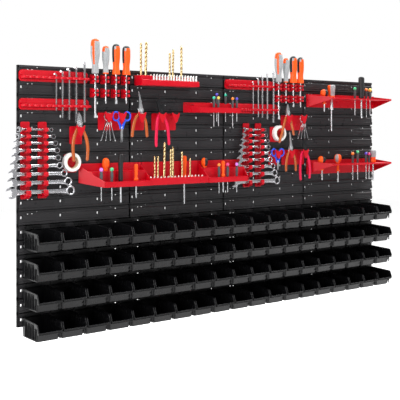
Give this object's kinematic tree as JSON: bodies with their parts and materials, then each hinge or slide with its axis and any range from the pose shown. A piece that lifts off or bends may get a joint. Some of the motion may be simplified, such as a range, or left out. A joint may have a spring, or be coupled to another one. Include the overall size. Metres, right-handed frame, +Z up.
{
  "type": "pegboard tool wall",
  "caption": "Wall of slatted perforated plastic panels with rows of open bins and clip-on racks, shelves and hooks holding hand tools.",
  "frame": {"origin": "centre of the back face of the block of panels, which is the face that lies on the wall", "axes": "+X along the wall to the right as seen from the front, +Y into the wall, +Z up"},
  "size_m": [1.6154, 0.1275, 0.909],
  "materials": {
    "panel_plastic": "satin",
    "bin_plastic": "satin",
    "red_plastic": "satin",
    "tool_steel": "polished",
    "gold_steel": "satin",
    "orange_plastic": "satin",
    "grip_rubber": "matte",
    "handle_red": "satin",
    "handle_copper": "satin",
    "blue_plastic": "satin",
    "tape_white": "matte"
  },
  "bodies": {
    "wall": {"bit_holder_centre": "red_plastic", "bit_holder_top": "red_plastic", "driver_clips_left": "red_plastic", "driver_clips_right": "red_plastic", "hooks_left": "red_plastic", "hooks_right": "red_plastic", "long_shelf_lower": "red_plastic", "long_shelf_upper": "red_plastic", "panel_1_1": "panel_plastic", "panel_1_2": "panel_plastic", "panel_1_3": "panel_plastic", "panel_1_4": "panel_plastic", "panel_2_1": "panel_plastic", "panel_2_2": "panel_plastic", "panel_2_3": "panel_plastic", "panel_2_4": "panel_plastic", "pliers_fixed_halves": "handle_copper", "scissors_fixed_halves": "blue_plastic", "step_shelf_left": "red_plastic", "step_shelf_middle": "red_plastic", "step_shelf_right": "red_plastic", "tool_rail_left_lower": "red_plastic", "tool_rail_left_upper": "red_plastic", "tool_rail_right_lower": "red_plastic", "tool_rail_right_upper": "red_plastic", "wrench_rack_left": "red_plastic", "wrench_rack_right": "red_plastic"},
    "bins_row_1": {"bins_row_1": "bin_plastic"},
    "bins_row_2": {"bins_row_2": "bin_plastic"},
    "bins_row_3": {"bins_row_3": "bin_plastic"},
    "bins_row_4": {"bins_row_4": "bin_plastic"},
    "hex_keys": {"hex_keys": "tool_steel"},
    "screwdrivers_left": {"screwdriver_handles_left": "orange_plastic", "screwdriver_blades_left": "tool_steel"},
    "wrenches_left": {"wrenches_left": "tool_steel"},
    "screwdrivers_right": {"screwdriver_handles_right": "orange_plastic", "screwdriver_blades_right": "tool_steel"},
    "wrenches_right": {"wrenches_right": "tool_steel"},
    "bits_top": {"drill_bits_top": "gold_steel", "driver_bits_top": "tool_steel"},
    "bits_centre": {"drill_bits_centre": "gold_steel", "driver_bits_centre": "tool_steel"},
    "small_drivers_middle": {"precision_drivers_middle": "grip_rubber"},
    "small_drivers_centre": {"precision_drivers_centre": "grip_rubber", "stubby_drivers_centre": "orange_plastic"},
    "small_drivers_right": {"precision_drivers_right": "grip_rubber", "stubby_drivers_right": "orange_plastic"},
    "combination_pliers_moving_half": {"combination_pliers_moving_half": "handle_red"},
    "key_bunch_left": {"key_bunch_left": "tool_steel"},
    "key_bunch_right": {"key_bunch_right": "tool_steel"},
    "long_nose_left_moving_half": {"long_nose_left_moving_half": "handle_copper"},
    "long_nose_right_moving_half": {"long_nose_right_moving_half": "handle_copper"},
    "scissors_left_moving_half": {"scissors_left_moving_half": "blue_plastic"},
    "scissors_right_moving_half": {"scissors_right_moving_half": "blue_plastic"},
    "side_cutters_left_moving_half": {"side_cutters_left_moving_half": "handle_copper"},
    "side_cutters_right_moving_half": {"side_cutters_right_moving_half": "handle_copper"},
    "tape_roll_left": {"tape_roll_left": "tape_white"},
    "tape_roll_right": {"tape_roll_right": "tape_white"},
    "water_pump_pliers_moving_half": {"water_pump_pliers_moving_half": "handle_red"}
  },
  "joints": [
    {"name": "bins_row_1_lift_off", "type": "slide", "parent": "wall", "child": "bins_row_1", "axis": [0, -1, 0], "range_m": [0, 0.06]},
    {"name": "bins_row_2_lift_off", "type": "slide", "parent": "wall", "child": "bins_row_2", "axis": [0, -1, 0], "range_m": [0, 0.06]},
    {"name": "bins_row_3_lift_off", "type": "slide", "parent": "wall", "child": "bins_row_3", "axis": [0, -1, 0], "range_m": [0, 0.06]},
    {"name": "bins_row_4_lift_off", "type": "slide", "parent": "wall", "child": "bins_row_4", "axis": [0, -1, 0], "range_m": [0, 0.06]},
    {"name": "hex_keys_lift", "type": "slide", "parent": "wall", "child": "hex_keys", "axis": [0, 0, 1], "range_m": [0, 0.12]},
    {"name": "screwdrivers_left_lift", "type": "slide", "parent": "wall", "child": "screwdrivers_left", "axis": [0, 0, 1], "range_m": [0, 0.1]},
    {"name": "screwdrivers_right_lift", "type": "slide", "parent": "wall", "child": "screwdrivers_right", "axis": [0, 0, 1], "range_m": [0, 0.1]},
    {"name": "wrenches_left_lift", "type": "slide", "parent": "wall", "child": "wrenches_left", "axis": [0, 0, 1], "range_m": [0, 0.007]},
    {"name": "wrenches_right_lift", "type": "slide", "parent": "wall", "child": "wrenches_right", "axis": [0, 0, 1], "range_m": [0, 0.007]},
    {"name": "bits_top_lift", "type": "slide", "parent": "wall", "child": "bits_top", "axis": [0, 0, 1], "range_m": [0, 0.03]},
    {"name": "bits_centre_lift", "type": "slide", "parent": "wall", "child": "bits_centre", "axis": [0, 0, 1], "range_m": [0, 0.01]},
    {"name": "small_drivers_middle_lift", "type": "slide", "parent": "wall", "child": "small_drivers_middle", "axis": [0, 0, 1], "range_m": [0, 0.06]},
    {"name": "small_drivers_centre_lift", "type": "slide", "parent": "wall", "child": "small_drivers_centre", "axis": [0, 0, 1], "range_m": [0, 0.045]},
    {"name": "small_drivers_right_lift", "type": "slide", "parent": "wall", "child": "small_drivers_right", "axis": [0, 0, 1], "range_m": [0, 0.08]},
    {"name": "side_cutters_left_pivot", "type": "hinge", "parent": "wall", "child": "side_cutters_left_moving_half", "pos_m": [-0.588, -0.038, 0.217], "axis": [0, -1, 0], "range_deg": [0, 20]},
    {"name": "long_nose_left_pivot", "type": "hinge", "parent": "wall", "child": "long_nose_left_moving_half", "pos_m": [-0.364, -0.038, 0.261], "axis": [0, -1, 0], "range_deg": [0, 12]},
    {"name": "water_pump_pliers_pivot", "type": "hinge", "parent": "wall", "child": "water_pump_pliers_moving_half", "pos_m": [-0.284, -0.038, 0.261], "axis": [0, -1, 0], "range_deg": [0, 20]},
    {"name": "side_cutters_right_pivot", "type": "hinge", "parent": "wall", "child": "side_cutters_right_moving_half", "pos_m": [0.286, -0.038, 0.26], "axis": [0, -1, 0], "range_deg": [0, 6]},
    {"name": "long_nose_right_pivot", "type": "hinge", "parent": "wall", "child": "long_nose_right_moving_half", "pos_m": [0.3, -0.038, 0.13], "axis": [0, -1, 0], "range_deg": [0, 8]},
    {"name": "combination_pliers_pivot", "type": "hinge", "parent": "wall", "child": "combination_pliers_moving_half", "pos_m": [0.37, -0.038, 0.13], "axis": [0, -1, 0], "range_deg": [0, 2]},
    {"name": "scissors_left_pivot", "type": "hinge", "parent": "wall", "child": "scissors_left_moving_half", "pos_m": [-0.4385, -0.0415, 0.204], "axis": [0, 1, 0], "range_deg": [0, 15]},
    {"name": "scissors_right_pivot", "type": "hinge", "parent": "wall", "child": "scissors_right_moving_half", "pos_m": [0.2325, -0.0415, 0.082], "axis": [0, 1, 0], "range_deg": [0, 15]},
    {"name": "tape_roll_left_spin", "type": "hinge", "parent": "wall", "child": "tape_roll_left", "pos_m": [-0.607, -0.0228, 0.097], "axis": [0, 1, 0], "continuous": true},
    {"name": "tape_roll_right_spin", "type": "hinge", "parent": "wall", "child": "tape_roll_right", "pos_m": [0.256, -0.0228, 0.184], "axis": [0, 1, 0], "continuous": true},
    {"name": "key_bunch_left_swing", "type": "hinge", "parent": "wall", "child": "key_bunch_left", "pos_m": [-0.487, -0.038, 0.249], "axis": [0, 1, 0], "range_deg": [-3, 6]},
    {"name": "key_bunch_right_swing", "type": "hinge", "parent": "wall", "child": "key_bunch_right", "pos_m": [0.362, -0.038, 0.249], "axis": [0, 1, 0], "range_deg": [-6, 2]}
  ]
}
